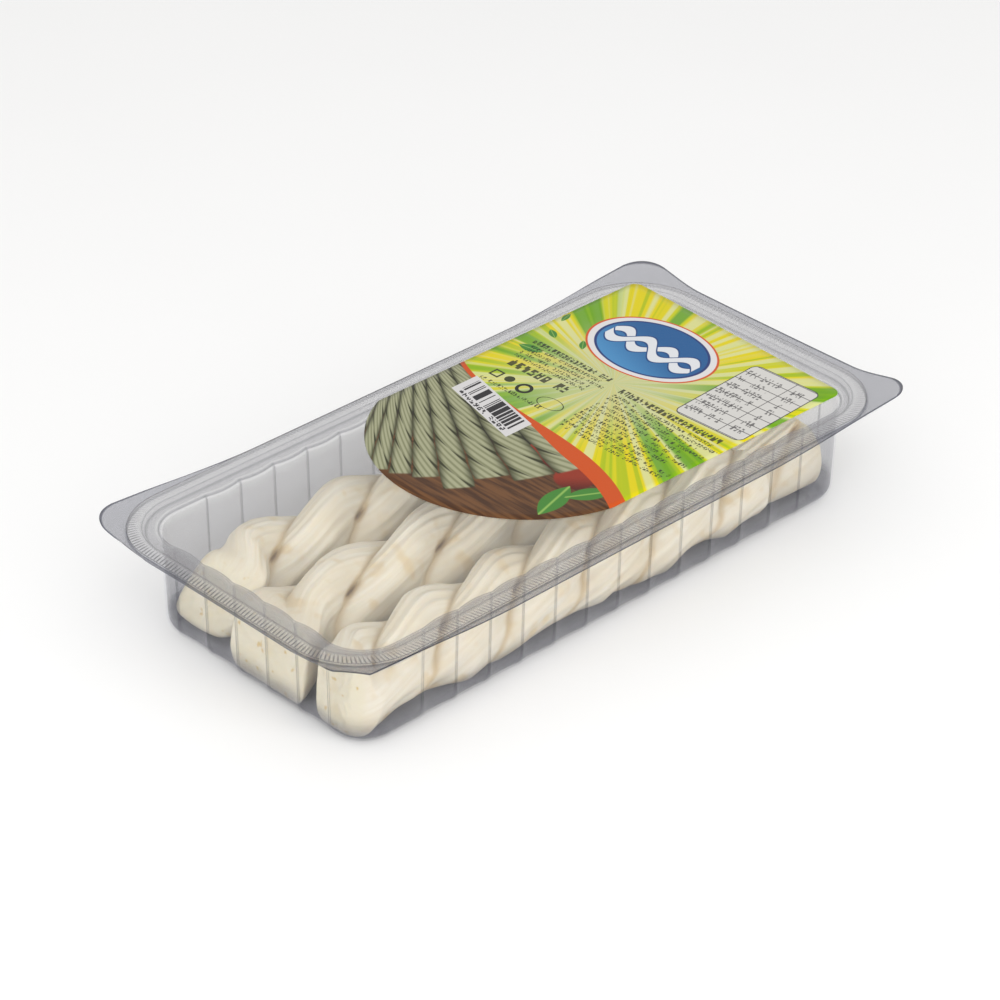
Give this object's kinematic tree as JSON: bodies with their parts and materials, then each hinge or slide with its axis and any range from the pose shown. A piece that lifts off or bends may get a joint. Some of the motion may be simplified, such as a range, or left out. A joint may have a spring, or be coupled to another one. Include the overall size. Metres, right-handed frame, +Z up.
{
  "type": "tray pack of twisted string cheese",
  "caption": "Sealed clear fluted tray pack holding twisted ropes of string cheese side by side under a flat lid film with a label; it stands flat.",
  "frame": {"origin": "middle of the pack's bounding box, on the surface it stands on", "axes": "+X along the pack towards the labelled end, +Y across it, +Z up through the lid"},
  "size_m": [0.2, 0.1, 0.0329],
  "materials": {
    "tray_plastic": "clear thermoformed plastic, glossy",
    "film_plastic": "clear thin lid film, glossy",
    "label_print": "printed film label, satin",
    "cheese": "pale cream fibrous cheese, soft sheen"
  },
  "bodies": {
    "root": {"tray": "tray_plastic", "lid_film": "film_plastic", "label": "label_print", "cheese_rope_back": "cheese", "cheese_rope_middle": "cheese", "cheese_rope_front": "cheese"}
  },
  "joints": []
}
